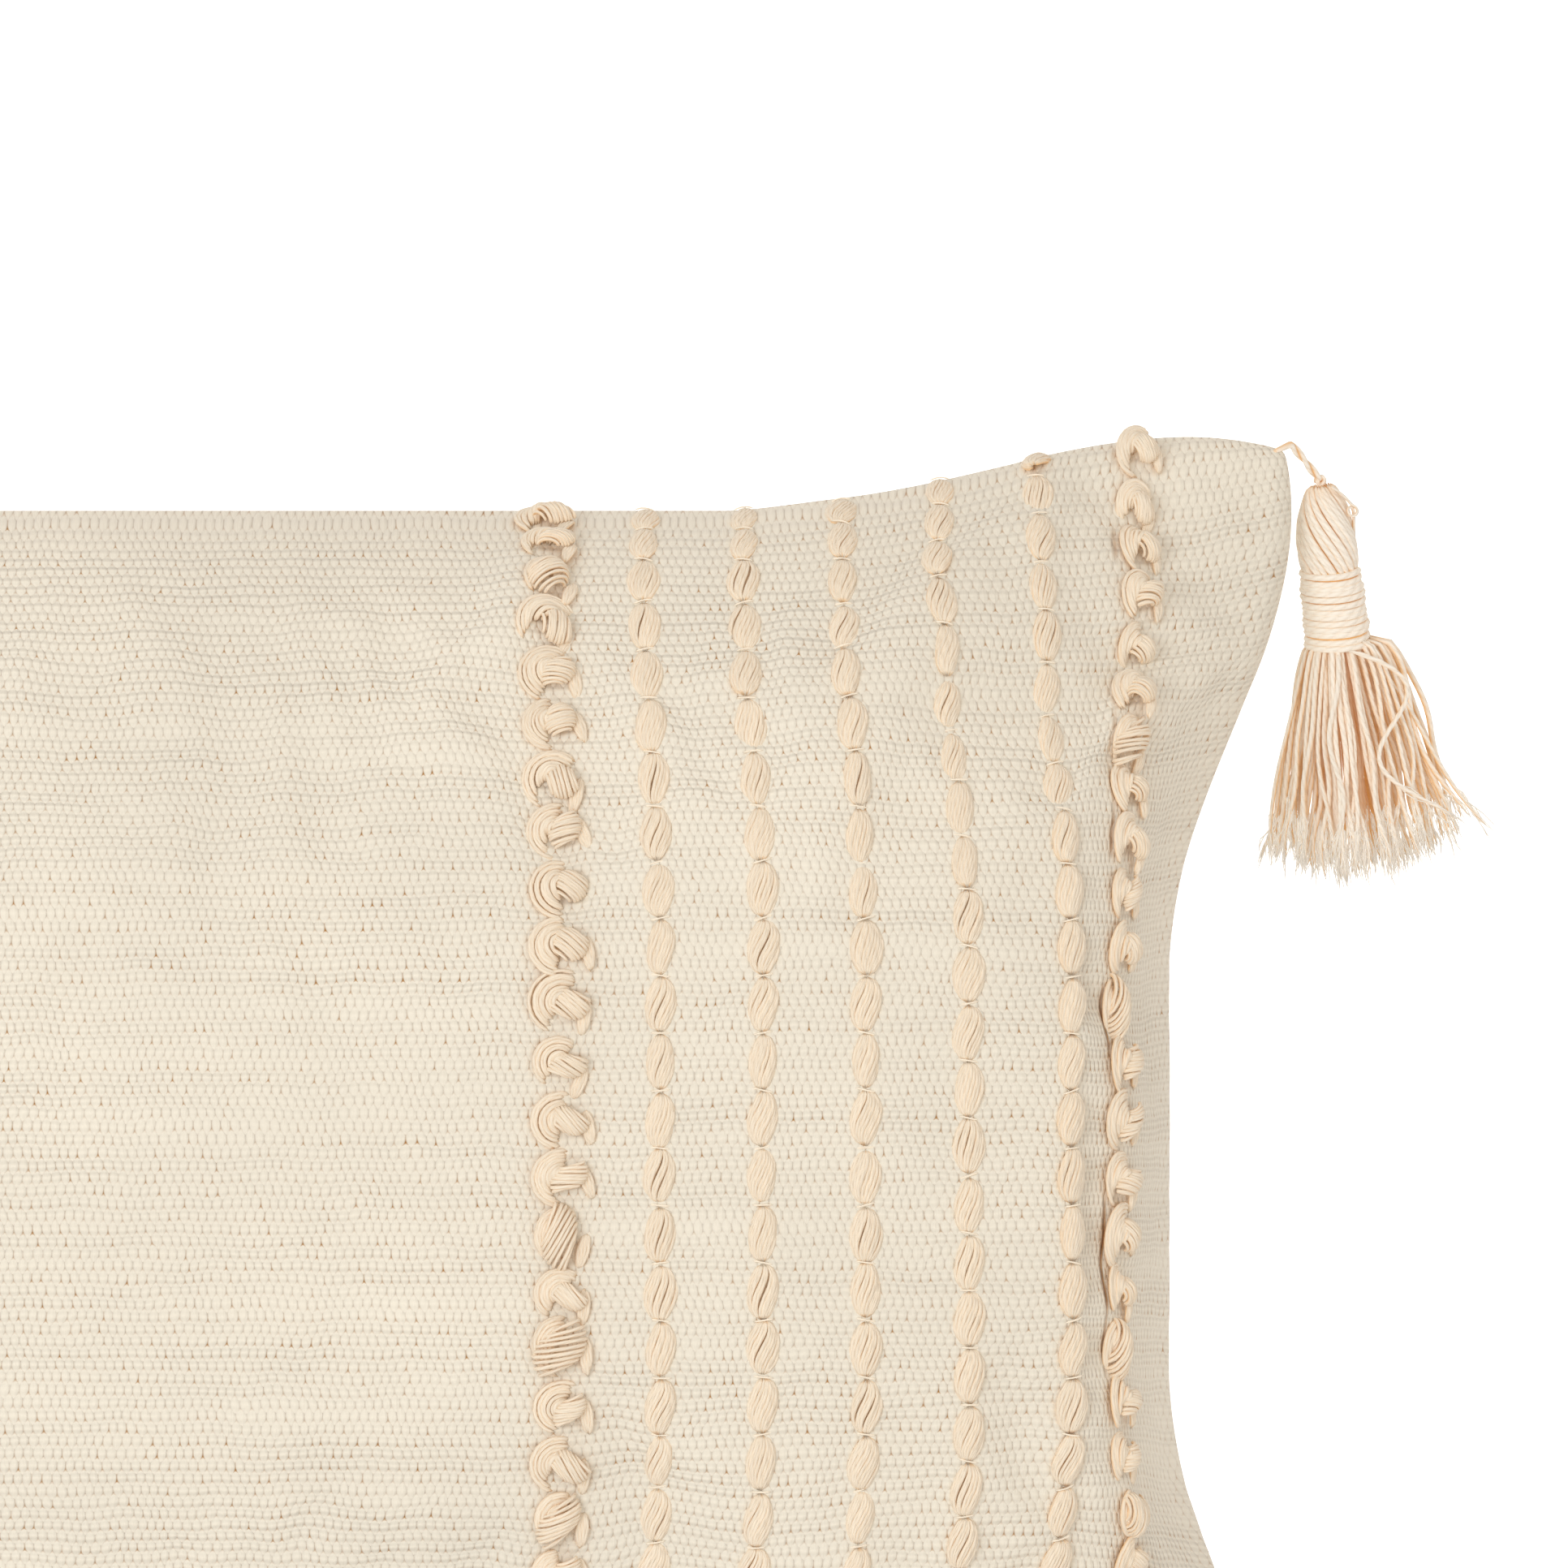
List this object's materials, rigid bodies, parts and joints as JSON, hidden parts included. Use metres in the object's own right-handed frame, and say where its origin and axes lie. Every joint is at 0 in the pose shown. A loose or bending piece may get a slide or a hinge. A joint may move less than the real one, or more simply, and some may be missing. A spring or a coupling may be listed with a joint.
{
  "type": "throw pillow",
  "caption": "Rectangular woven cotton throw pillow with rows of tufted loops and flat yarn stitches, corner tassels and a concealed zip.",
  "frame": {"origin": "the middle of the flat patch on the back that the pillow rests on", "axes": "+X along the pillow's length, +Y across its width, +Z out of its tufted front; it lies on its back"},
  "size_m": [0.7176, 0.4657, 0.1357],
  "materials": {
    "woven_cotton": "natural cream plain weave",
    "tufted_yarn": "soft twisted cotton yarn",
    "casing_cloth": "plain lining cloth",
    "fibre_fill": "loose polyester fibre",
    "zip_tape": "woven tape",
    "zip_coil": "nylon coil",
    "zip_metal": "cream painted zinc",
    "label_satin": "blank satin ribbon"
  },
  "bodies": {
    "pillow": {"front_panel": "woven_cotton", "back_panel": "woven_cotton", "seam_turning": "woven_cotton", "casing_front": "casing_cloth", "casing_back": "casing_cloth", "fibre_fill": "fibre_fill", "zip_tape_front": "zip_tape", "zip_tape_back": "zip_tape", "zip_coil_front": "zip_coil", "zip_coil_back": "zip_coil", "zip_top_stop": "zip_metal", "zip_bottom_stop": "zip_metal", "care_label": "label_satin", "loop_row_left_inner": "tufted_yarn", "loop_row_left_outer": "tufted_yarn", "stitch_row_left_1": "tufted_yarn", "stitch_row_left_2": "tufted_yarn", "stitch_row_left_3": "tufted_yarn", "stitch_row_left_4": "tufted_yarn", "stitch_row_left_5": "tufted_yarn", "loop_row_right_inner": "tufted_yarn", "loop_row_right_outer": "tufted_yarn", "stitch_row_right_1": "tufted_yarn", "stitch_row_right_2": "tufted_yarn", "stitch_row_right_3": "tufted_yarn", "stitch_row_right_4": "tufted_yarn", "stitch_row_right_5": "tufted_yarn"},
    "zip_slider": {"zip_slider": "zip_metal"},
    "zip_pull": {"zip_pull": "zip_metal"},
    "tassel_top_left_hanger": {"tassel_top_left_cord": "tufted_yarn"},
    "tassel_top_left": {"tassel_top_left_head": "tufted_yarn", "tassel_top_left_wrap": "tufted_yarn", "tassel_top_left_skirt": "tufted_yarn"},
    "tassel_top_right_hanger": {"tassel_top_right_cord": "tufted_yarn"},
    "tassel_top_right": {"tassel_top_right_head": "tufted_yarn", "tassel_top_right_wrap": "tufted_yarn", "tassel_top_right_skirt": "tufted_yarn"},
    "tassel_bottom_left_hanger": {"tassel_bottom_left_cord": "tufted_yarn"},
    "tassel_bottom_left": {"tassel_bottom_left_head": "tufted_yarn", "tassel_bottom_left_wrap": "tufted_yarn", "tassel_bottom_left_skirt": "tufted_yarn"},
    "tassel_bottom_right_hanger": {"tassel_bottom_right_cord": "tufted_yarn"},
    "tassel_bottom_right": {"tassel_bottom_right_head": "tufted_yarn", "tassel_bottom_right_wrap": "tufted_yarn", "tassel_bottom_right_skirt": "tufted_yarn"}
  },
  "joints": [
    {"name": "zip_slide", "type": "slide", "parent": "pillow", "child": "zip_slider", "axis": [-1, 0, 0], "range_m": [0, 0.29]},
    {"name": "zip_pull_turn", "type": "hinge", "parent": "zip_slider", "child": "zip_pull", "pos_m": [0.145, -0.1655, 0.062], "axis": [0, 0, 1], "range_deg": [0, 180]},
    {"name": "tassel_top_left_swing", "type": "hinge", "parent": "pillow", "child": "tassel_top_left_hanger", "pos_m": [-0.29476, 0.17726, 0.028], "axis": [0, 0, -1], "range_deg": [-2, 120]},
    {"name": "tassel_top_left_lift", "type": "hinge", "parent": "tassel_top_left_hanger", "child": "tassel_top_left", "pos_m": [-0.30213, 0.16848, 0.01997], "axis": [-0.9936, 0.1132, 0], "range_deg": [0, 60]},
    {"name": "tassel_top_right_swing", "type": "hinge", "parent": "pillow", "child": "tassel_top_right_hanger", "pos_m": [0.29476, 0.17726, 0.028], "axis": [0, 0, 1], "range_deg": [-2, 120]},
    {"name": "tassel_top_right_lift", "type": "hinge", "parent": "tassel_top_right_hanger", "child": "tassel_top_right", "pos_m": [0.30213, 0.16848, 0.01997], "axis": [-0.9936, -0.1132, 0], "range_deg": [0, 60]},
    {"name": "tassel_bottom_left_swing", "type": "hinge", "parent": "pillow", "child": "tassel_bottom_left_hanger", "pos_m": [-0.29476, -0.17726, 0.028], "axis": [0, 0, -1], "range_deg": [-75, 100]},
    {"name": "tassel_bottom_left_lift", "type": "hinge", "parent": "tassel_bottom_left_hanger", "child": "tassel_bottom_left", "pos_m": [-0.30213, -0.18604, 0.01997], "axis": [-0.9397, 0.342, 0], "range_deg": [0, 60]},
    {"name": "tassel_bottom_right_swing", "type": "hinge", "parent": "pillow", "child": "tassel_bottom_right_hanger", "pos_m": [0.29476, -0.17726, 0.028], "axis": [0, 0, 1], "range_deg": [-75, 100]},
    {"name": "tassel_bottom_right_lift", "type": "hinge", "parent": "tassel_bottom_right_hanger", "child": "tassel_bottom_right", "pos_m": [0.30213, -0.18604, 0.01997], "axis": [-0.9397, -0.342, 0], "range_deg": [0, 60]}
  ]
}
